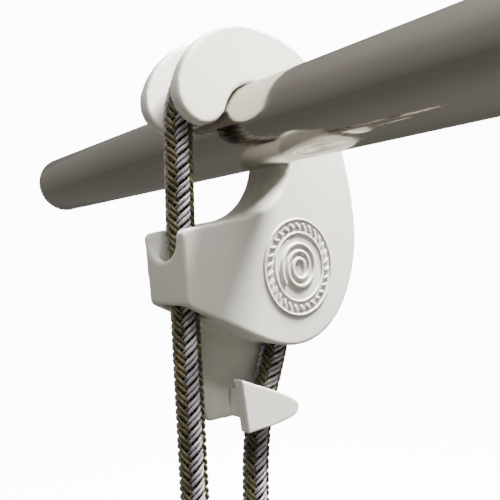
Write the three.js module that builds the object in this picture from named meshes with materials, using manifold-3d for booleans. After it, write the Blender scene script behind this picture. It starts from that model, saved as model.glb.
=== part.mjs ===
// A rail-hung line hook: a moulded hook that sits over a round stainless rail and
// carries a braided line up through its guide, over its head in a groove, down its
// back and out into a jam cleat.
// Millimetres. +Z is up, +X runs along the rail, and the hook opens towards -Y.
// The origin is on the rail's axis, in the hook's middle plane.

import * as THREE from 'three';
import { mergeVertices } from 'three/addons/utils/BufferGeometryUtils.js';
import Module from 'manifold-3d';

const wasm = await Module();
wasm.setup();

// ---------------------------------------------------------------- sizes

const rail = { diameter: 25, wall: 1.5, length: 260, sides: 64 };
const line = { diameter: 8, sides: 12 };
const hook = {
  width: 20, // over both cheeks
  cheek: 4, // thickness of one cheek
  noseAngle: 160, // where the head ends, degrees round the rail from the back
  nose: 8.7, // radius of the head's rounded end
  hubWall: 5.2, // plastic between the rail's seat and the line's groove
  throat: 22.2, // radius of the mouth's lower curve
};
const guide = {
  reach: 1, // the line stands this much further out in the guide than over the head
  wall: 1, // front wall at its foot
  lean: 1.1, // how far the wall's top leans out
  notch: 5, // radius of the notch in the wall, where it meets the channel
  offset: 1.2, // the notch stands this much towards the far cheek
  flare: 2.4, // opening-out of the notch
};
const fit = { rail: 0.4, line: 0.3, seam: 0.05, peg: 0.15, gap: 0.3 };

const railR = rail.diameter / 2;
const lineR = line.diameter / 2;
const seatR = railR + fit.rail; // the hook's seat round the rail
const runR = seatR + hook.hubWall + fit.line + lineR; // the line's arc over the head
const grooveR = runR - lineR - fit.line; // the groove's floor
const grooveX = hook.width / 2 - hook.cheek; // half the groove's width

// Places given as a distance beyond the rail's surface, so they follow its size.
const back = (d) => railR + d;
const front = (d) => -railR - d;
const below = (d) => -railR - d;
const rad = THREE.MathUtils.degToRad;
const around = (degrees, radius) =>
  new THREE.Vector2(radius * Math.cos(rad(degrees)), radius * Math.sin(rad(degrees)));
const v2 = (y, z) => new THREE.Vector2(y, z);

// ---------------------------------------------------------------- solids

const CURVE_STEPS = 12; // points on each curve of an outline

function toSolid(geometry) {
  const bare = geometry.clone();
  bare.deleteAttribute('normal');
  bare.deleteAttribute('uv');
  const merged = mergeVertices(bare, 1e-4);
  const vertProperties = new Float32Array(merged.attributes.position.array);
  const triVerts = new Uint32Array(merged.index.array);
  return new wasm.Manifold(new wasm.Mesh({ numProp: 3, vertProperties, triVerts }));
}

function toGeometry(solid) {
  const made = solid.getMesh();
  const geometry = new THREE.BufferGeometry();
  geometry.setAttribute('position', new THREE.BufferAttribute(made.vertProperties, 3));
  geometry.setIndex(new THREE.BufferAttribute(made.triVerts, 1));
  const flat = geometry.toNonIndexed();
  flat.computeVertexNormals();
  return flat;
}

// A plate with its outline in the YZ plane, from x0 to x1.
function plate(shape, x0, x1, steps = CURVE_STEPS) {
  const options = { depth: x1 - x0, bevelEnabled: false, curveSegments: steps };
  const geometry = new THREE.ExtrudeGeometry(shape, options);
  const turn = new THREE.Matrix4().makeBasis(
    new THREE.Vector3(0, 1, 0), new THREE.Vector3(0, 0, 1), new THREE.Vector3(1, 0, 0));
  return geometry.applyMatrix4(turn.setPosition(x0, 0, 0));
}

// A round peg along X.
function peg(radius, x0, x1, y, z) {
  const geometry = new THREE.CylinderGeometry(radius, radius, x1 - x0, 16);
  return geometry.rotateZ(Math.PI / 2).translate((x0 + x1) / 2, y, z);
}

const box = (x0, x1, y0, y1, z0, z1) =>
  new THREE.BoxGeometry(x1 - x0, y1 - y0, z1 - z0)
    .translate((x0 + x1) / 2, (y0 + y1) / 2, (z0 + z1) / 2);

// ---------------------------------------------------------------- the line's run

const guideY = -(runR + guide.reach); // the line's centre in the guide
const cleat = { y: back(-7.2), z: below(70.1) }; // the line's centre between tongue and horn
const tailTop = v2(back(-10.4), below(80.2)); // where the line leaves the cleat

const backRun = new THREE.CubicBezierCurve3(
  new THREE.Vector3(0, runR, 0),
  new THREE.Vector3(0, runR, below(17.5)),
  new THREE.Vector3(0, back(3.5), below(49.5)),
  new THREE.Vector3(0, cleat.y, cleat.z),
);

// ---------------------------------------------------------------- the hook's outline

const slope = 0.482; // the underside falls this much towards the back
const footY = guideY - lineR - fit.line - guide.wall; // the guide's front face at its foot
const footZ = below(39);
const underside = (y) => footZ - slope * (y - footY);
const chin = v2(front(-8.9), underside(front(-8.9)));
const bottom = v2(back(1.1), below(55.4));
const throatY = seatR + 0.3 - hook.throat;
const throatZ = -(railR - 7.2);

function outline() {
  const shape = new THREE.Shape();
  const noseAt = around(hook.noseAngle, seatR + hook.nose);
  const headR = seatR + 2 * hook.nose;
  shape.absarc(noseAt.x, noseAt.y, hook.nose, rad(hook.noseAngle - 180), rad(hook.noseAngle), true);
  shape.absarc(0, 0, headR, rad(hook.noseAngle), rad(90), true);
  shape.splineThru([
    around(69, railR + 18.7),
    around(50, railR + 20.7),
    around(30, railR + 22.9),
    around(12, railR + 25),
    around(-8, railR + 28),
    v2(back(30.6), below(5.2)),
    v2(back(32), below(17.5)),
  ]);
  shape.bezierCurveTo(back(31.7), below(38.4), back(18.7), bottom.y, bottom.x, bottom.y);
  shape.quadraticCurveTo(
    chin.x + (chin.y - bottom.y) / slope, bottom.y, chin.x, chin.y);
  shape.lineTo(footY + 0.8, underside(footY + 0.8));
  shape.lineTo(footY, footZ + 0.6);
  shape.lineTo(footY - guide.lean, below(19.4));
  shape.lineTo(footY - guide.lean + 1.2, below(18.1));
  shape.absarc(throatY, throatZ, hook.throat, rad(-81), 0, false);
  shape.absarc(0, 0, seatR, 0, rad(hook.noseAngle), false);
  return shape;
}

// Everything outside the groove's floor, from the head's front round to the tail's exit.
function grooveCut() {
  const shape = new THREE.Shape();
  const far = 4 * rail.diameter;
  const floor = backRun.getPoints(CURVE_STEPS).map((p, i) => {
    const t = backRun.getTangent(i / CURVE_STEPS);
    return v2(p.y + t.z * (lineR + fit.line), p.z - t.y * (lineR + fit.line));
  });
  shape.moveTo(-far, front(-2));
  shape.lineTo(-grooveR, front(-2));
  shape.absarc(0, 0, grooveR, Math.PI, 0, true);
  floor.slice(1).forEach((p) => shape.lineTo(p.x, p.y));
  shape.lineTo(floor.at(-1).x, -far);
  shape.lineTo(far, -far);
  shape.lineTo(far, far);
  shape.lineTo(-far, far);
  return toSolid(plate(shape, -grooveX, grooveX));
}

// The guide: an upright channel for the line, with a flared U-shaped notch in its front wall.
function guideCut() {
  const y0 = guideY - lineR - fit.line;
  const y1 = guideY + lineR + fit.line;
  const channel = box(-grooveX, grooveX, y0, y1, footZ - 30, below(2));
  const shape = new THREE.Shape();
  const x = -guide.offset;
  shape.absarc(x, below(19.5), guide.notch, Math.PI, 2 * Math.PI, false);
  shape.lineTo(x + guide.notch, below(2));
  shape.lineTo(x - guide.notch, below(2));
  const notch = new THREE.ExtrudeGeometry(shape, {
    depth: 3, curveSegments: CURVE_STEPS, bevelEnabled: true, bevelSegments: 1,
    bevelSize: guide.flare, bevelThickness: guide.flare,
  });
  // Stood up with the wide part of the flare on the front face.
  notch.rotateX(Math.PI / 2).translate(0, y0 - guide.wall, 0);
  return toSolid(channel).add(toSolid(notch));
}

// ---------------------------------------------------------------- the jam cleat

const tongue = { inner: -lineR - 0.4 };
const horn = { x0: lineR + 0.4, thickness: 3.8, peg: 3.4 };
const web = { y0: front(-7), y1: front(-11), z0: below(76), z1: below(67.5) };

function tongueShape() {
  const shape = new THREE.Shape();
  shape.moveTo(front(7.1), underside(front(7.1)) + 3);
  shape.lineTo(front(3.8), below(65.7));
  shape.lineTo(front(1.8), below(74.6));
  shape.quadraticCurveTo(front(1.5), below(76.3), front(-0.4), below(76.5));
  shape.lineTo(back(-6), below(76.9));
  shape.quadraticCurveTo(back(-3.8), below(76.9), back(-3.2), below(75));
  shape.lineTo(back(3.5), below(51));
  shape.lineTo(back(-6), below(45));
  return shape;
}

function hornShape() {
  const shape = new THREE.Shape();
  shape.moveTo(front(-2.1), below(62.4));
  shape.lineTo(back(-8.7), below(68.5));
  shape.quadraticCurveTo(back(-1.2), below(72), back(0.1), below(73.6));
  shape.quadraticCurveTo(back(1.6), below(76), back(-1.5), below(77.6));
  shape.quadraticCurveTo(back(-6), below(78.6), back(-12), below(78.6));
  shape.lineTo(front(-3.9), below(78.6));
  return shape;
}

const spigot = {
  y0: web.y0 + 0.8, y1: web.y1 - 0.8, z0: web.z0 + 3, z1: web.z1 - 3,
};

function jamHorn() {
  const s = spigot;
  const stem = box(tongue.inner + fit.gap, horn.x0 + 1, web.y0, web.y1, web.z0, web.z1);
  const face = plate(hornShape(), horn.x0, horn.x0 + horn.thickness);
  const root = box(tongue.inner - horn.peg, 0, s.y0, s.y1, s.z0, s.z1);
  return toSolid(stem).add(toSolid(face)).add(toSolid(root));
}

function spigotSocket() {
  const s = spigot;
  const c = fit.peg;
  const x0 = tongue.inner - horn.peg - fit.gap;
  return toSolid(box(x0, 0, s.y0 - c, s.y1 + c, s.z0 - c, s.z1 + c));
}

// ---------------------------------------------------------------- the hook's two halves

const pegX = 4; // how far a moulded peg stands out of the far half
const pegs = [
  { y: 0, z: seatR + hook.hubWall / 2, r: 1.6 },
  { y: front(-3), z: below(24), r: 2.2 },
  { y: back(-6), z: below(19), r: 2.2 },
  { y: front(-14), z: below(42), r: 2.2 },
];

function hookHalf(side) {
  const inner = side * fit.seam;
  const outer = (side * hook.width) / 2;
  const [x0, x1] = side > 0 ? [inner, outer] : [outer, inner];
  return toSolid(plate(outline(), x0, x1)).subtract(grooveCut()).subtract(guideCut());
}

function hookHalfNear() {
  let half = hookHalf(1);
  for (const p of pegs) {
    const socket = peg(p.r + fit.peg, -1, pegX + fit.gap, p.y, p.z);
    half = half.subtract(toSolid(socket));
  }
  return half;
}

function hookHalfFar() {
  const shoulder = toSolid(plate(tongueShape(), -hook.width / 2, tongue.inner));
  let half = hookHalf(-1).add(shoulder).subtract(spigotSocket());
  for (const p of pegs) half = half.add(toSolid(peg(p.r, -1, pegX, p.y, p.z)));
  return half;
}

// ---------------------------------------------------------------- the line

const loadPivotZ = below(42.9); // the load strand bends here, just under the guide
const loadRun = [ // [x, y, z], straight down to the splice
  [0, -23.4, -57.4], [0, -23.4, -76.4], [0, -23.4, -96.4], [0, -23.4, -117],
];
const tailRun = [ // out of the cleat and down to the whipped end
  [0, 1.6, -96], [0, 1.0, -99.5], [0, 0.4, -104], [0, 0, -110], [0, -0.3, -116], [0, -0.4, -122],
  [0, -0.4, -136], [0, -0.4, -150],
];
const splice = { length: 14, top: 5, foot: 8.2 };
const eye = { radius: 12.6, drop: 25 }; // the loop's middle line, and how far its centre hangs
const thimble = { bore: 5.5, width: 9.6, lip: 1.6 };
const whipping = { length: 8, twine: 1, toEnd: 2.5 };

const points3 = (list) => list.map((p) => new THREE.Vector3(...p));
const flatTop = (z) => z - fit.gap;

// A round tube along a curve.
function tube(curve, steps) {
  const section = new THREE.Shape();
  const corner = lineR / Math.cos(Math.PI / line.sides) ** 0.5;
  for (let i = 0; i < line.sides; i += 1) {
    const p = around((360 * i) / line.sides, corner);
    if (i) section.lineTo(p.x, p.y);
    else section.moveTo(p.x, p.y);
  }
  return new THREE.ExtrudeGeometry(section, { steps, extrudePath: curve, bevelEnabled: false });
}

// The stretch that the hook holds: up the guide, over the head and down to the cleat.
function bight() {
  const path = [new THREE.Vector3(0, guideY, loadPivotZ + fit.gap)];
  for (const z of [below(30), below(16)]) path.push(new THREE.Vector3(0, guideY, z));
  for (let a = 176; a >= 0; a -= 16) {
    const p = around(a, runR);
    path.push(new THREE.Vector3(0, p.x, p.y));
  }
  path.push(...backRun.getPoints(6).slice(1), new THREE.Vector3(0, tailTop.x, tailTop.y));
  return tube(new THREE.CatmullRomCurve3(path, false, 'centripetal'), 44);
}

const strand = (run, steps) => tube(new THREE.CatmullRomCurve3(points3(run)), steps);

// A solid of revolution about a vertical axis, from [radius, height] points.
function turned(profile, sides, x, y, z) {
  const points = profile.map(([r, h]) => v2(r, h));
  return new THREE.LatheGeometry(points, sides).rotateX(Math.PI / 2).translate(x, y, z);
}

function spliceThroat() {
  const [, y, z] = loadRun.at(-1);
  const profile = [
    [0, 0], [splice.top - 0.8, 0], [splice.top, -1.5],
    [splice.top, -splice.length + 6], [splice.foot, -splice.length], [0, -splice.length]];
  return turned(profile.reverse(), 24, 0, y, flatTop(z));
}

const throatFoot = loadRun.at(-1)[2] - fit.gap - splice.length;
const eyeZ = throatFoot - eye.drop;

function eyeLoop() {
  const y = loadRun.at(-1)[1];
  const legX = lineR + fit.gap;
  const leg = (x, drop) => new THREE.Vector3(x, y, throatFoot - fit.gap - drop);
  const path = [leg(-legX, 0), leg(-legX, 2), leg(-legX - 1.6, 7)];
  for (let a = 145; a <= 395; a += 25) {
    const p = around(a, eye.radius);
    path.push(new THREE.Vector3(p.x, y, eyeZ + p.y));
  }
  path.push(leg(legX + 1.6, 7), leg(legX, 2), leg(legX, 0));
  return tube(new THREE.CatmullRomCurve3(path, false, 'centripetal'), 30);
}

// A round thimble: a ring with a hollow rim that the eye lies in.
function eyeThimble() {
  const rim = eye.radius - lineR - fit.line;
  const w = thimble.width / 2;
  const hollow = new THREE.Path().absarc(eye.radius, 0, lineR + fit.line, rad(130), rad(230));
  const profile = [v2(thimble.bore, -w), v2(rim + thimble.lip, -w)];
  profile.push(...hollow.getPoints(8).reverse());
  profile.push(v2(rim + thimble.lip, w), v2(thimble.bore, w), v2(thimble.bore, -w));
  return new THREE.LatheGeometry(profile, 40).translate(0, loadRun.at(-1)[1], eyeZ);
}

// Twine bound round the tail just above its end.
function tailWhipping() {
  const [, y, end] = tailRun.at(-1);
  const r0 = lineR + fit.gap;
  const r1 = r0 + whipping.twine;
  const h = whipping.length;
  const profile = [[r0, 0], [r1, 0], [r1, h], [r0, h], [r0, 0]];
  return turned(profile, 24, 0, y, end + whipping.toEnd);
}

function railTube() {
  const inner = railR - rail.wall;
  const half = rail.length / 2;
  const profile = [
    v2(inner, -half), v2(railR, -half), v2(railR, half), v2(inner, half), v2(inner, -half)];
  return new THREE.LatheGeometry(profile, rail.sides).rotateZ(-Math.PI / 2);
}

// ---------------------------------------------------------------- the object

const finishes = {
  steel: { color: 0xa9a7a2, roughness: 0.16, metalness: 1 },
  zinc: { color: 0xb4b6b8, roughness: 0.3, metalness: 1 },
  plastic: { color: 0xdcdad2, roughness: 0.5, metalness: 0 },
  line: { color: 0x8b8672, roughness: 0.8, metalness: 0 },
  twine: { color: 0x4d4a40, roughness: 0.9, metalness: 0 },
};

const object = new THREE.Group();

function add(name, finish, shape) {
  const geometry = shape instanceof THREE.BufferGeometry ? shape : toGeometry(shape);
  const mesh = new THREE.Mesh(geometry, new THREE.MeshStandardMaterial(finishes[finish]));
  mesh.name = name;
  object.add(mesh);
}

add('rail_tube', 'steel', railTube());
add('hook_half_near', 'plastic', hookHalfNear());
add('hook_half_far', 'plastic', hookHalfFar());
add('jam_horn', 'plastic', jamHorn());
add('line_bight', 'line', bight());
add('load_strand', 'line', strand(loadRun, 4));
add('splice_throat', 'twine', spliceThroat());
add('load_eye', 'line', eyeLoop());
add('eye_thimble', 'zinc', eyeThimble());
add('tail_strand', 'line', strand(tailRun, 10));
add('tail_whipping', 'twine', tailWhipping());

export default object;
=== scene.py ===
"""A moulded rail hook that carries a braided line over a polished stainless rail."""

import math

import bmesh
import bpy
import numpy as np
from mathutils import Matrix, Vector


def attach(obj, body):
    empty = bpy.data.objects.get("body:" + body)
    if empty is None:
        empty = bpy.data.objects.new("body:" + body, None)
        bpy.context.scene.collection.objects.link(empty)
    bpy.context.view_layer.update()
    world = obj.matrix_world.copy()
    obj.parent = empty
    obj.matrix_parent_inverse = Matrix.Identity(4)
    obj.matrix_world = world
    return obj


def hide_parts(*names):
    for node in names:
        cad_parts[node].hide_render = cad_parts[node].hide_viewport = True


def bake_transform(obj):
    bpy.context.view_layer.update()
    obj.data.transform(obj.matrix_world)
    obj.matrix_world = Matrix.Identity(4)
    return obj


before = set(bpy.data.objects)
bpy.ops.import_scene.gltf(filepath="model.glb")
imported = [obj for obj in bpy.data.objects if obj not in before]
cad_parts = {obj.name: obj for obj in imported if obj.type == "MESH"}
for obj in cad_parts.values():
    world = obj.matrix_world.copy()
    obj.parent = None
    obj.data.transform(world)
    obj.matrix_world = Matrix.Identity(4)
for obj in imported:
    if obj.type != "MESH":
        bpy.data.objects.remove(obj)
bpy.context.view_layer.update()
scene = bpy.context.scene
MM = 0.001  # every section works in millimetres


# ---- Camera -------------------------------------------------------------------------
# A close view of the hook from its open side, level with the guide and a little rolled.

CAMERA_AT = (133.6, -116.2, -37.9)
CAMERA_AZIMUTH = 48.3
CAMERA_RISE = 0.26
CAMERA_ROLL = -3.07

camera = bpy.data.objects.new("camera", bpy.data.cameras.new("camera"))
camera.data.lens = 40.5
camera.data.clip_start = 0.005
turn = Matrix.Rotation(math.radians(CAMERA_AZIMUTH), 4, "Z")
tilt = Matrix.Rotation(math.radians(90 + CAMERA_RISE), 4, "X")
roll = Matrix.Rotation(math.radians(CAMERA_ROLL), 4, "Z")
camera.matrix_world = Matrix.Translation(Vector(CAMERA_AT) * MM) @ turn @ tilt @ roll
scene.collection.objects.link(camera)
scene.camera = camera


# ---- The braided line ---------------------------------------------------------------
# An 8 mm twelve-plait polyester braid: six silver-grey and six olive strands of two
# yarns each, two over and two under round a core. The silver-grey and olive are painted
# light, cool and warm light on the two hands of one braid, and the core and the low places
# between strands are painted near-black shade. It comes up the guide, lies in the groove
# over the head and down the back, and leaves through the cleat as a hanging tail.

LINE_R = 4.0
LAY = 24.3  # length of one turn of a strand
PLAIT_R = 3.4  # middle of the plait
WAVE = 0.42  # how far a strand rises and dips from there
FAN = 0.3  # how far a strand lies flatter where it shows and steeper where it hides
YARN_WIDTH = 0.46
YARN_APART = 0.56  # half the distance between a strand's two yarns
YARN_THICKNESS = 0.5
YARN_SIDES = 6
CORE_R = 2.75
CORE_SIDES = 12
STRANDS = 6
COLUMNS = 3  # columns of each colour round the line
STEP = 0.75  # length of line between two rings of the mesh
COLUMN = math.radians(-14)  # where round the line the silver strands lie on top
SQUARE = 1.6  # how sharply a strand steps between over and under

RUN_R = 22.4
GUIDE = (0, -23.4, -28.5)
GUIDE_FOOT = (0, -23.4, -55.1)
BACK_TOP = (0, RUN_R, 0)
BACK_MIDDLE = (0, RUN_R, -30)
BACK_LOW = (0, 16, -62)
CLEAT = (0, 5.3, -82.6)
CLEAT_EXIT = (0, 2.1, -92.7)
LOAD_SPLIT = (0, -23.4, -48)  # inside the guide, where the load line takes over
TAIL_SPLIT = (0, 3.8, -86)  # behind the horn, where the tail line takes over
EASE = 60  # passes that round the corners of the line's path
LOAD_RUN = [(0, -23.4, -57.4), (0, -23.4, -76.4), (0, -23.4, -96.4), (0, -23.4, -117)]
TAIL_RUN = [
    (0, 1.6, -96), (0, 1.0, -99.5), (0, 0.4, -104), (0, 0, -110), (0, -0.3, -116), (0, -0.4, -122),
    (0, -0.4, -136), (0, -0.4, -150),
]


def spaced(points, step=0.4):
    """The line through a list of points, as points a step apart."""
    points = np.array(points, float)
    along = np.r_[0, np.cumsum(np.linalg.norm(np.diff(points, axis=0), axis=1))]
    at = np.linspace(0, along[-1], math.ceil(along[-1] / step) + 1)
    return np.column_stack([np.interp(at, along, points[:, i]) for i in range(3)])


def eased(line, passes):
    """The line with its corners rounded and its ends kept."""
    line = line.copy()
    for _ in range(passes):
        line[1:-1] = (line[:-2] + 2 * line[1:-1] + line[2:]) / 4
    return line


def arc(radius, first, last, count, centre=(0, 0), plane=(1, 2), off=0.0):
    """Points on an arc, its angles in degrees, in the plane of two axes."""
    angles = np.radians(np.linspace(first, last, count))
    points = np.full((count, 3), off, float)
    points[:, plane[0]] = centre[0] + radius * np.cos(angles)
    points[:, plane[1]] = centre[1] + radius * np.sin(angles)
    return points


def length_of(line):
    return float(np.linalg.norm(np.diff(line, axis=0), axis=1).sum())


def bend(co, line, side=(1, 0, 0), twist=None):
    """Coordinates round a straight bar up Z, laid along a line of points."""
    tangent = np.gradient(line, axis=0)
    tangent /= np.linalg.norm(tangent, axis=1)[:, None]
    across = np.empty_like(line)
    side = np.array(side, float)
    for i, t in enumerate(tangent):
        side = side - t * (side @ t)
        side /= np.linalg.norm(side)
        across[i] = side
    normal = np.cross(tangent, across)
    if twist is not None:
        c, s = np.cos(twist)[:, None], np.sin(twist)[:, None]
        across, normal = across * c + normal * s, normal * c - across * s
    at = co[:, 2] / length_of(line) * (len(line) - 1)
    low = np.clip(np.floor(at).astype(int), 0, len(line) - 2)
    part = (at - low)[:, None]

    def between(values):
        return values[low] * (1 - part) + values[low + 1] * part

    return between(line) + co[:, :1] * between(across) + co[:, 1:2] * between(normal)


def edges_of(verts):
    """The edges at some vertices, each once and always in the same order."""
    return list(dict.fromkeys(e for v in verts for e in v.link_edges))


def ring_up(bm, verts, rise, angle, steps):
    """A closed ring of vertices drawn up Z into a tube, turning as it goes."""
    bmesh.ops.spin(
        bm, geom=verts + edges_of(verts), cent=(0, 0, 0), axis=(0, 0, 1), dvec=(0, 0, rise / steps),
        angle=angle, steps=steps, use_merge=False, use_duplicate=False,
    )


def straight_braid(length, start):
    """The braid as a straight bar up Z, its pattern counted from start."""
    bm = bmesh.new()
    hand = bm.verts.layers.float.new("hand")
    around = bm.verts.layers.float.new("around")
    steps = math.ceil(length / STEP)
    pitch = math.atan(2 * math.pi * PLAIT_R / LAY)
    for side in (-1, 1):
        ring = bmesh.ops.create_circle(bm, segments=YARN_SIDES, radius=1)["verts"]
        for i, v in enumerate(ring):
            v[around] = i / YARN_SIDES
            v[hand] = 1
        bmesh.ops.scale(bm, verts=ring, vec=(YARN_THICKNESS, YARN_WIDTH, 1))
        bmesh.ops.rotate(bm, verts=ring, matrix=Matrix.Rotation(-pitch, 3, "X"))
        bmesh.ops.translate(bm, verts=ring, vec=(PLAIT_R, 0, 0))
        angle = 2 * math.pi * start / LAY + side * YARN_APART / math.cos(pitch) / PLAIT_R
        bmesh.ops.rotate(bm, verts=ring, matrix=Matrix.Rotation(angle, 3, "Z"))
        ring_up(bm, ring, length, 2 * math.pi * length / LAY, steps)
    strand = bm.verts[:] + bm.edges[:] + bm.faces[:]
    for k in range(1, STRANDS):
        copy = bmesh.ops.duplicate(bm, geom=strand)["geom"]
        verts = [g for g in copy if isinstance(g, bmesh.types.BMVert)]
        bmesh.ops.rotate(bm, verts=verts, matrix=Matrix.Rotation(2 * math.pi * k / STRANDS, 3, "Z"))
    copy = bmesh.ops.duplicate(bm, geom=bm.verts[:] + bm.edges[:] + bm.faces[:])["geom"]
    verts = [g for g in copy if isinstance(g, bmesh.types.BMVert)]
    bmesh.ops.scale(bm, verts=verts, vec=(1, -1, 1))
    for v in verts:
        v[hand] = -1
    core = bmesh.ops.create_circle(bm, segments=CORE_SIDES, radius=CORE_R)["verts"]
    ring_up(bm, core, length, 0, steps)
    bmesh.ops.holes_fill(bm, edges=[e for e in bm.edges if e.is_boundary], sides=CORE_SIDES)
    bmesh.ops.recalc_face_normals(bm, faces=bm.faces[:])
    return bm


def piece(name, bm, material, body=None, smooth_below=40):
    """A finished mesh object in the frame, in metres, riding on a body."""
    bmesh.ops.scale(bm, verts=bm.verts[:], vec=(MM, MM, MM))
    mesh = bpy.data.meshes.new(name)
    bm.to_mesh(mesh)
    bm.free()
    mesh.shade_smooth()
    mesh.set_sharp_from_angle(angle=math.radians(smooth_below))
    mesh.materials.append(material)
    made = bpy.data.objects.new(name, mesh)
    scene.collection.objects.link(made)
    if body:
        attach(made, body)
    return made


def coordinates(mesh):
    co = np.empty(len(mesh.vertices) * 3, np.float32)
    mesh.vertices.foreach_get("co", co)
    return co.reshape(-1, 3).astype(float) / MM


def set_coordinates(mesh, co):
    mesh.vertices.foreach_set("co", (co * MM).astype(np.float32).ravel())
    mesh.update()


def braided(name, line, start, material, body=None, side=(1, 0, 0), twist=None):
    """A length of the braid laid along a line of points."""
    made = piece(name, straight_braid(length_of(line), start), material, body, 80)
    mesh = made.data
    co = coordinates(mesh)
    hands = np.empty(len(co), np.float32)
    mesh.attributes["hand"].data.foreach_get("value", hands)
    along = mesh.attributes.new("along", "FLOAT", "POINT")
    along.data.foreach_set("value", (co[:, 2] + start).astype(np.float32))
    angle = COLUMNS * (np.arctan2(co[:, 1], co[:, 0]) - COLUMN)
    r = np.hypot(co[:, 0], co[:, 1])
    crown = r + hands * WAVE * np.tanh(SQUARE * np.cos(angle)) / math.tanh(SQUARE)
    co[:, :2] *= (crown / r)[:, None]
    co[:, 2] -= FAN * np.sin(angle) * (hands != 0)
    height = mesh.attributes.new("height", "FLOAT", "POINT")
    height.data.foreach_set("value", crown.astype(np.float32))
    set_coordinates(mesh, bend(co, line, side, twist))
    return made


class Nodes:
    """A material's node tree, with its Principled BSDF."""

    def __init__(self, name):
        self.material = bpy.data.materials.new(name)
        self.material.use_nodes = True
        self.tree = self.material.node_tree
        self.shader = self.tree.nodes["Principled BSDF"]

    def node(self, kind, props=None, **inputs):
        made = self.tree.nodes.new("ShaderNode" + kind)
        for key, value in (props or {}).items():
            setattr(made, key, value)
        for key, value in inputs.items():
            self.set(made, key.replace("_", " "), value)
        return made

    def set(self, node, key, value):
        by_number = key[0] == "i" and key[1:].isdigit()
        socket = node.inputs[int(key[1:]) if by_number else key]
        if isinstance(value, bpy.types.NodeSocket):
            self.tree.links.new(value, socket)
        else:
            socket.default_value = value

    def attribute(self, name):
        return self.node("Attribute", {"attribute_name": name}).outputs["Fac"]

    def span(self, value, low, high, to_low=0.0, to_high=1.0):
        inputs = {"From_Min": low, "From_Max": high, "To_Min": to_low, "To_Max": to_high}
        return self.node("MapRange", Value=value, **inputs).outputs["Result"]

    def blend_colours(self, factor, a, b, how="MIX"):
        mix = self.node("Mix", {"data_type": "RGBA", "blend_type": how})
        for key, value in (("i0", factor), ("i6", a), ("i7", b)):
            self.set(mix, key, value)
        return mix.outputs[2]

    def place(self, scale=(1, 1, 1)):
        where = self.node("TexCoord").outputs["Object"]
        return self.node("Mapping", Vector=where, Scale=scale).outputs["Vector"]

    def noise(self, scale, detail=3.0, vector=None, rough=0.5):
        made = self.node("TexNoise", Scale=scale, Detail=detail, Roughness=rough)
        self.set(made, "Vector", vector or self.place())
        return made.outputs["Fac"]

    def bump(self, height, strength, distance):
        made = self.node("Bump", Height=height, Strength=strength, Distance=distance)
        self.set(self.shader, "Normal", made.outputs["Normal"])


# painted light: silver-grey and olive stand for cool and warm light on the braid's two hands, and
# lavender and bronze are their shaded copies, painted shade
SILVER = (0.88, 0.84, 0.86, 1)
SILVER_SHADE = (0.50, 0.46, 0.56, 1)
OLIVE = (0.27, 0.23, 0.11, 1)
OLIVE_SHADE = (0.115, 0.09, 0.035, 1)
# near-black painted shade: it colours the core and the low places between the strands
PAINTED_SHADE = (0.006, 0.0055, 0.003, 1)

line_look = Nodes("braided polyester")
filaments = line_look.node(
    "CombineXYZ", X=line_look.attribute("around"), Y=line_look.attribute("along")
)
stretched = line_look.node("Mapping", Vector=filaments.outputs[0], Scale=(22, 0.7, 1))
thread = line_look.noise(1.0, 2.0, stretched.outputs["Vector"])
# random tone: noise blends each hand between its lit colour and its painted shade
mottle_and_shade = line_look.span(line_look.noise(180.0, 2.0), 0.35, 0.65)
silver = line_look.blend_colours(mottle_and_shade, SILVER, SILVER_SHADE)
olive = line_look.blend_colours(mottle_and_shade, OLIVE, OLIVE_SHADE)
is_silver = line_look.span(line_look.attribute("hand"), -0.5, 0.5)
strands = line_look.blend_colours(is_silver, olive, silver)
# thread noise streaks the strands darker along their filaments, towards the same near-black painted
# shade
streaked = line_look.blend_colours(line_look.span(thread, 0.3, 0.7, 0.45, 0.0), strands, PAINTED_SHADE)
# painted shade between the strands: the lower a yarn lies below the braid's crown, the nearer it is
# painted to near-black
depth = line_look.span(line_look.attribute("height"), 3.2, 4.05)
colour = line_look.blend_colours(depth, PAINTED_SHADE, streaked)
line_look.set(line_look.shader, "Base Color", colour)
line_look.set(line_look.shader, "Roughness", line_look.span(thread, 0.3, 0.7, 0.38, 0.62))
line_look.shader.inputs["Sheen Weight"].default_value = 0.15
line_look.bump(thread, 0.5, 0.0001)

down = np.linspace(0, 1, 60)[1:, None]
guides = [np.array(p, float) for p in (BACK_TOP, BACK_MIDDLE, BACK_LOW, CLEAT)]
back = sum(
    n * (1 - down) ** (3 - i) * down**i * p for i, (n, p) in enumerate(zip((1, 3, 3, 1), guides))
)
load_end = (0, LOAD_RUN[-1][1], LOAD_RUN[-1][2] - 2)
route = [load_end, GUIDE_FOOT, GUIDE, *arc(RUN_R, 178, 0, 90), *back, CLEAT_EXIT, *TAIL_RUN]
whole = eased(spaced(route), EASE)
distance = np.linspace(0, length_of(whole), len(whole))
foot = int(np.argmin(np.linalg.norm(whole - LOAD_SPLIT, axis=1)))
leave = int(np.argmin(np.linalg.norm(whole - TAIL_SPLIT, axis=1)))
head = int(np.argmin(np.linalg.norm(whole - BACK_TOP, axis=1)))
TWIST = 25  # degrees that the line turns on its way down the back
SETTLED = 25  # points of the path before the tail's split where that turn is complete
turned = np.clip((np.arange(len(whole)) - head) / (leave - SETTLED - head), 0, 1)
twists = np.radians(TWIST) * turned

material = line_look.material
held_line = braided("held_line", whole[foot : leave + 1], distance[foot], material, "hook",
                    twist=twists[foot : leave + 1])
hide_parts("line_bight")

load_path = whole[: foot + 1]
load_line = braided("load_line", load_path, 0, material)
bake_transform(load_line)
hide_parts("load_strand")

tail_path = whole[leave:]
tail_line = braided("tail_line", tail_path, distance[leave], material, twist=twists[leave:])
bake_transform(tail_line)
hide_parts("tail_strand")


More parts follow.
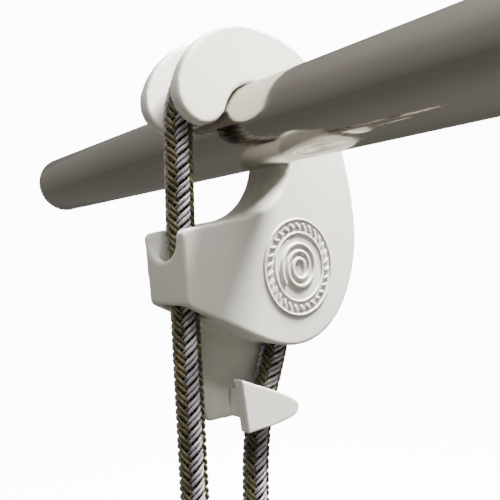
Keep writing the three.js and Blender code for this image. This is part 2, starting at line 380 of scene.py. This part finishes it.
# ---- Eye, splice and whippings ------------------------------------------------------
# The line's load end is spliced back into itself round a thimble. Waxed twine binds the
# splice's throat, and a second whipping keeps the tail's cut end from fraying.

EYE_R = 12.6
EYE_Z = -156.3
LOAD_Y = LOAD_RUN[-1][1]
THROAT_TOP = -117.3
THROAT = [(0, 4.9), (8, 5.0), (14, 8.1)]  # drop from the top, radius
TWINE = 0.5
WHIPPING_FOOT = -147.5
WHIPPING_LENGTH = 8

loop = arc(EYE_R, 145, 395, 80, (0, EYE_Z), (0, 2), LOAD_Y)
legs = [(4.3, LOAD_Y, -130.5), (4.3, LOAD_Y, -133.6), (5.9, LOAD_Y, -138.6)]
left = [(-x, y, z) for x, y, z in legs]
eye_path = eased(spaced([*left, *loop, *reversed(legs)]), EASE)
load_eye = braided("load_eye_line", eye_path, 0, material, "load_side", side=(0, 1, 0))
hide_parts("load_eye")

twine_look = Nodes("waxed twine")
ply = twine_look.node(
    "TexWave", Scale=900.0, Distortion=2.0, Detail=2.0, Vector=twine_look.place((1, 1, 3))
)
tone = twine_look.blend_colours(ply.outputs["Fac"], (0.035, 0.03, 0.024, 1), (0.14, 0.12, 0.09, 1))
twine_look.set(twine_look.shader, "Base Color", tone)
twine_look.shader.inputs["Roughness"].default_value = 0.55
twine_look.bump(ply.outputs["Fac"], 0.4, 0.0001)


def twine_turns(name, centre, top, profile, body):
    """Turns of twine side by side, one below the other, round a vertical axis."""
    bm = bmesh.new()
    drops, radii = zip(*profile)
    count = round(drops[-1] / (2 * TWINE))
    for i in range(count):
        drop = (i + 0.5) * drops[-1] / count
        turn = bmesh.ops.create_circle(bm, segments=8, radius=TWINE * 1.04)["verts"]
        bmesh.ops.rotate(bm, verts=turn, matrix=Matrix.Rotation(math.pi / 2, 3, "X"))
        r = float(np.interp(drop, drops, radii)) - TWINE
        bmesh.ops.translate(bm, verts=turn, vec=(r, 0, -drop))
        bmesh.ops.spin(
            bm, geom=turn + edges_of(turn), cent=(0, 0, 0), axis=(0, 0, 1),
            angle=2 * math.pi, steps=48, use_merge=True, use_duplicate=False,
        )
    bmesh.ops.recalc_face_normals(bm, faces=bm.faces[:])
    bmesh.ops.translate(bm, verts=bm.verts[:], vec=(*centre, top))
    return piece(name, bm, twine_look.material, body, 80)


throat = twine_turns("throat_whipping", (0, LOAD_Y), THROAT_TOP, THROAT, "load_side")
# the filler has no height attribute, so the braid's material paints it all in the near-black
# painted shade under the twine
filler = bmesh.new()
bmesh.ops.create_cone(
    filler, cap_ends=True, segments=40, radius1=THROAT[-1][1] - 1, radius2=THROAT[0][1] - 1,
    depth=THROAT[-1][0] - 0.4,
)
bmesh.ops.translate(filler, verts=filler.verts[:], vec=(0, LOAD_Y, THROAT_TOP - THROAT[-1][0] / 2))
throat_core = piece("throat_core", filler, material, "load_side")
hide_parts("splice_throat")
end_whipping = twine_turns(
    "end_whipping", TAIL_RUN[-1][:2], WHIPPING_FOOT + WHIPPING_LENGTH,
    [(0, LINE_R + 1.2), (WHIPPING_LENGTH, LINE_R + 1.2)], "tail_side",
)
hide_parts("tail_whipping")


# ---- Thimble ------------------------------------------------------------------------
# A turned stainless ring with a hollow rim, which the eye of the line beds in.

BORE_R = 5.5
HALF_WIDTH = 4.8
LIP_R = 9.9
TURNED_EDGE = 0.3

steel_look = Nodes("turned stainless")
lathe = steel_look.noise(60.0, 3.0, steel_look.place((1, 40, 1)))
steel_look.shader.inputs["Base Color"].default_value = (0.62, 0.63, 0.64, 1)
steel_look.shader.inputs["Metallic"].default_value = 1
steel_look.set(steel_look.shader, "Roughness", steel_look.span(lathe, 0.3, 0.7, 0.24, 0.38))
steel_look.bump(lathe, 0.12, 0.0001)

hollow = arc(LINE_R + 0.3, 130, 230, 12, (EYE_R, 0), (0, 1))
outline = [
    (BORE_R, -HALF_WIDTH), (LIP_R, -HALF_WIDTH), *hollow[::-1, :2],
    (LIP_R, HALF_WIDTH), (BORE_R, HALF_WIDTH),
]
bm = bmesh.new()
verts = [bm.verts.new((r, y, 0)) for r, y in outline]
edges = [bm.edges.new(pair) for pair in zip(verts, verts[1:] + verts[:1])]
bmesh.ops.spin(
    bm, geom=verts + edges, cent=(0, 0, 0), axis=(0, 1, 0), angle=2 * math.pi, steps=96,
    use_merge=True, use_duplicate=False,
)
bmesh.ops.recalc_face_normals(bm, faces=bm.faces[:])
sharp = [e for e in bm.edges if e.calc_face_angle(0) > 0.9]
bmesh.ops.bevel(
    bm, geom=sharp, offset=TURNED_EDGE, segments=3, profile=0.5, affect="EDGES", material=-1
)
bmesh.ops.translate(bm, verts=bm.verts[:], vec=(0, LOAD_Y, EYE_Z))
thimble = piece("thimble", bm, steel_look.material, "load_side")
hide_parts("eye_thimble")


# ---- The rail -----------------------------------------------------------------------
# A length of 25 mm stainless tube, drawn and polished along its length, with a soft
# deburred edge at its ends. Posts or brackets beyond both ends carry it.

RAIL_R = 12.5
RAIL_WALL = 1.5
RAIL_HALF = 130
DEBURR = 0.3

rail_look = Nodes("polished stainless tube")
grain = rail_look.noise(90.0, 4.0, rail_look.place((0.04, 1, 1)), 0.6)
cloud = rail_look.noise(14.0, 3.0)
tint = rail_look.blend_colours(
    rail_look.span(cloud, 0.3, 0.7), (0.43, 0.41, 0.37, 1), (0.50, 0.475, 0.43, 1)
)
rail_look.set(rail_look.shader, "Base Color", tint)
rail_look.shader.inputs["Metallic"].default_value = 1
rail_look.set(rail_look.shader, "Roughness", rail_look.span(grain, 0.3, 0.7, 0.08, 0.17))
rail_look.bump(grain, 0.05, 0.0001)

bm = bmesh.new()
bore = RAIL_R - RAIL_WALL
corners = [(-RAIL_HALF, RAIL_R), (RAIL_HALF, RAIL_R), (RAIL_HALF, bore), (-RAIL_HALF, bore)]
verts = [bm.verts.new((x, 0, r)) for x, r in corners]
edges = [bm.edges.new(pair) for pair in zip(verts, verts[1:] + verts[:1])]
bmesh.ops.spin(
    bm, geom=verts + edges, cent=(0, 0, 0), axis=(1, 0, 0), angle=2 * math.pi, steps=160,
    use_merge=True, use_duplicate=False,
)
bmesh.ops.recalc_face_normals(bm, faces=bm.faces[:])
sharp = [e for e in bm.edges if e.calc_face_angle(0) > 1]
bmesh.ops.bevel(bm, geom=sharp, offset=DEBURR, segments=3, profile=0.5, affect="EDGES", material=-1)
rail = piece("rail", bm, rail_look.material, "rail")
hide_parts("rail_tube")


# ---- The hook's two halves ----------------------------------------------------------
# Moulded in off-white acetal as two halves that peg and weld together down the middle.
# The weld is dressed flush, so they show as one body with soft outer edges.

VOXEL = 0.55
ROUNDING = 6  # smoothing passes that soften a moulding's edges
JOINT = 0.06  # the halves' joint faces lie this close to the middle plane
JOINT_LAP = 6  # how many times over they are pushed into each other at the weld

plastic_look = Nodes("off-white acetal")
tone = plastic_look.span(plastic_look.noise(22.0, 3.0), 0.3, 0.7)
base = plastic_look.blend_colours(tone, (0.80, 0.785, 0.715, 1), (0.84, 0.825, 0.765, 1))
plastic_look.set(plastic_look.shader, "Base Color", base)
sheen = plastic_look.noise(160.0, 3.0)
plastic_look.set(plastic_look.shader, "Roughness", plastic_look.span(sheen, 0.3, 0.7, 0.36, 0.52))
plastic_look.shader.inputs["Subsurface Weight"].default_value = 0.06
plastic_look.shader.inputs["Subsurface Radius"].default_value = (0.0015, 0.0012, 0.001)
plastic_look.bump(plastic_look.noise(1400.0, 3.0), 0.06, 0.0001)


def moulded(name, nodes, voxel, passes):
    """CAD nodes' shape as one moulding, its edges rounded as it leaves the mould."""
    bm = bmesh.new()
    for node in nodes:
        bm.from_mesh(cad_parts[node].data)
    bmesh.ops.remove_doubles(bm, verts=bm.verts[:], dist=1e-6)
    if len(nodes) > 1:
        for v in bm.verts:
            if abs(v.co.x) < JOINT * MM:
                v.co.x *= -JOINT_LAP
    mesh = bpy.data.meshes.new(name)
    bm.to_mesh(mesh)
    bm.free()
    made = bpy.data.objects.new(name, mesh)
    scene.collection.objects.link(made)
    remesh = made.modifiers.new("remesh", "REMESH")
    remesh.mode = "VOXEL"
    remesh.voxel_size = voxel * MM
    graph = bpy.context.evaluated_depsgraph_get()
    shape = bpy.data.meshes.new_from_object(made.evaluated_get(graph))
    bpy.data.objects.remove(made)
    bm = bmesh.new()
    bm.from_mesh(shape)
    bmesh.ops.scale(bm, verts=bm.verts[:], vec=(1 / MM, 1 / MM, 1 / MM))
    for _ in range(passes):
        bmesh.ops.smooth_vert(
            bm, verts=bm.verts[:], factor=0.5, use_axis_x=True, use_axis_y=True, use_axis_z=True
        )
    made = piece(name, bm, plastic_look.material, "hook", 180)
    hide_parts(*nodes)
    return made


moulded("hook_body", ["hook_half_near", "hook_half_far"], VOXEL, ROUNDING)


# ---- The jam horn -------------------------------------------------------------------
# A small separate moulding: a three-cornered plate on a stem that is pegged into the
# tongue. The tail jams in the slot between plate and tongue.

HORN_VOXEL = 0.25

moulded("horn", ["jam_horn"], HORN_VOXEL, ROUNDING)


# ---- The badge ----------------------------------------------------------------------
# A low-relief roundel moulded on the near cheek: two rings, a rope border between them
# and a plain coil of rope in the middle.

BADGE_Y = 14.6
BADGE_Z = -43.3
FACE_X = 10.0
RINGS = (15.2, 10.9)
RING_WIDTH = 0.5
COIL_TURNS = 2.6
COIL_REACH = (2.0, 8.2)  # radius at the coil's inner and outer end
COIL_WIDTH = 0.75
COIL_POINTS = 160
ROPE_STROKES = 30
STROKE = (1.1, 0.85, 2.3)
STROKE_LEAN = 38
STROKE_EDGE = 0.2

bm = bmesh.new()


def raised_line(points, radius, closed=False):
    """A half-round bead along a line on the cheek's face."""
    line = spaced(points, 0.5)
    bead = bmesh.new()
    ring_up(bead, bmesh.ops.create_circle(bead, segments=8, radius=radius)["verts"],
            length_of(line), 0, len(line))
    bmesh.ops.holes_fill(bead, edges=[e for e in bead.edges if e.is_boundary], sides=8)
    bmesh.ops.recalc_face_normals(bead, faces=bead.faces[:])
    mesh = bpy.data.meshes.new("bead")
    bead.to_mesh(mesh)
    bead.free()
    co = coordinates(mesh) * MM
    set_coordinates(mesh, bend(co, line) / MM)
    bm.from_mesh(mesh)
    bpy.data.meshes.remove(mesh)


for r in RINGS:
    raised_line(arc(r, 0, 360, 120, (BADGE_Y, BADGE_Z)) + (FACE_X, 0, 0), RING_WIDTH)
spiral = np.radians(np.linspace(0, 360 * COIL_TURNS, COIL_POINTS))
reach = np.linspace(*COIL_REACH, COIL_POINTS)
coil = np.column_stack([
    np.full(COIL_POINTS, FACE_X), BADGE_Y + reach * np.cos(spiral), BADGE_Z + reach * np.sin(spiral)
])
raised_line(coil, COIL_WIDTH)
for i in range(ROPE_STROKES):
    stroke = bmesh.ops.create_cube(bm, size=1)["verts"]
    bmesh.ops.scale(bm, verts=stroke, vec=STROKE)
    soft = bmesh.ops.bevel(
        bm, geom=edges_of(stroke), offset=STROKE_EDGE, segments=2, profile=0.5,
        affect="EDGES", material=-1,
    )["verts"]
    bmesh.ops.rotate(bm, verts=soft, matrix=Matrix.Rotation(math.radians(STROKE_LEAN), 3, "X"))
    bmesh.ops.translate(bm, verts=soft, vec=(0, 0, sum(RINGS) / 2))
    bmesh.ops.rotate(bm, verts=soft, matrix=Matrix.Rotation(2 * math.pi * i / ROPE_STROKES, 3, "X"))
    bmesh.ops.translate(bm, verts=soft, vec=(FACE_X, BADGE_Y, BADGE_Z))
badge = piece("badge", bm, plastic_look.material, "hook", 50)


# ---- Floor, surround and light ------------------------------------------------------
# A plain white studio: one soft key lamp high above, on the near cheek's side and a little
# behind the hook, a long strip that draws a streak down the rail, and a dim surround for the
# steel to mirror.

FLOOR_Z = -300
GLOW = 12  # keeps floor and surround plain white
WARM_WHITE = (1, 0.98, 0.94)

floor_look = Nodes("pale floor")
floor_look.shader.inputs["Base Color"].default_value = (0.9, 0.9, 0.9, 1)
floor_look.shader.inputs["Emission Color"].default_value = (1, 1, 1, 1)
floor_look.shader.inputs["Emission Strength"].default_value = GLOW
bm = bmesh.new()
bmesh.ops.create_grid(bm, x_segments=1, y_segments=1, size=4000)
bmesh.ops.translate(bm, verts=bm.verts[:], vec=(0, 0, FLOOR_Z))
floor = piece("floor", bm, floor_look.material)

surround_look = Nodes("white surround")
surround_look.shader.inputs["Base Color"].default_value = (1, 1, 1, 1)
surround_look.shader.inputs["Emission Color"].default_value = (1, 1, 1, 1)
surround_look.shader.inputs["Emission Strength"].default_value = GLOW
bm = bmesh.new()
bmesh.ops.create_icosphere(bm, subdivisions=4, radius=5000)
surround = piece("surround", bm, surround_look.material)
for stage in (floor, surround):
    stage.visible_diffuse = False
    stage.visible_glossy = False
    stage.visible_shadow = False

world = bpy.data.worlds.new("studio")
scene.world = world
world.use_nodes = True
sky = world.node_tree
aim = sky.nodes.new("ShaderNodeTexCoord")
split = sky.nodes.new("ShaderNodeSeparateXYZ")
ramp = sky.nodes.new("ShaderNodeValToRGB")
level = sky.nodes.new("ShaderNodeMapRange")
level.inputs["From Min"].default_value = -1
sky.links.new(aim.outputs["Generated"], split.inputs["Vector"])
sky.links.new(split.outputs["Z"], level.inputs["Value"])
sky.links.new(level.outputs["Result"], ramp.inputs["Fac"])
sky.links.new(ramp.outputs["Color"], sky.nodes["Background"].inputs["Color"])
bands = [(0, 0.30), (0.25, 0.20), (0.44, 0.18), (0.5, 0.22), (0.66, 0.31), (0.8, 0.38), (1, 0.65)]
for i, (at, tone) in enumerate(bands):
    stop = ramp.color_ramp.elements[i] if i < 2 else ramp.color_ramp.elements.new(at)
    stop.position = at
    stop.color = (tone, tone * 0.96, tone * 0.88, 1)


def lamp(name, at, towards, size, power, width=None):
    """An unseen area lamp: place and aim in millimetres, size in metres, power in watts."""
    light = bpy.data.lights.new(name, "AREA")
    light.shape = "RECTANGLE" if width else "DISK"
    light.size = size
    if width:
        light.size_y = width
    light.energy = power
    light.color = WARM_WHITE
    made = bpy.data.objects.new(name, light)
    made.location = Vector(at) * MM
    made.rotation_euler = (Vector(towards) - Vector(at)).to_track_quat("-Z", "Y").to_euler()
    made.visible_camera = False
    scene.collection.objects.link(made)


lamp("key", (95, 150, 330), (0, 5, -20), 0.12, 18.5)
lamp("strip", (300, -160, 420), (60, 0, 0), 0.5, 2.4, 0.05)
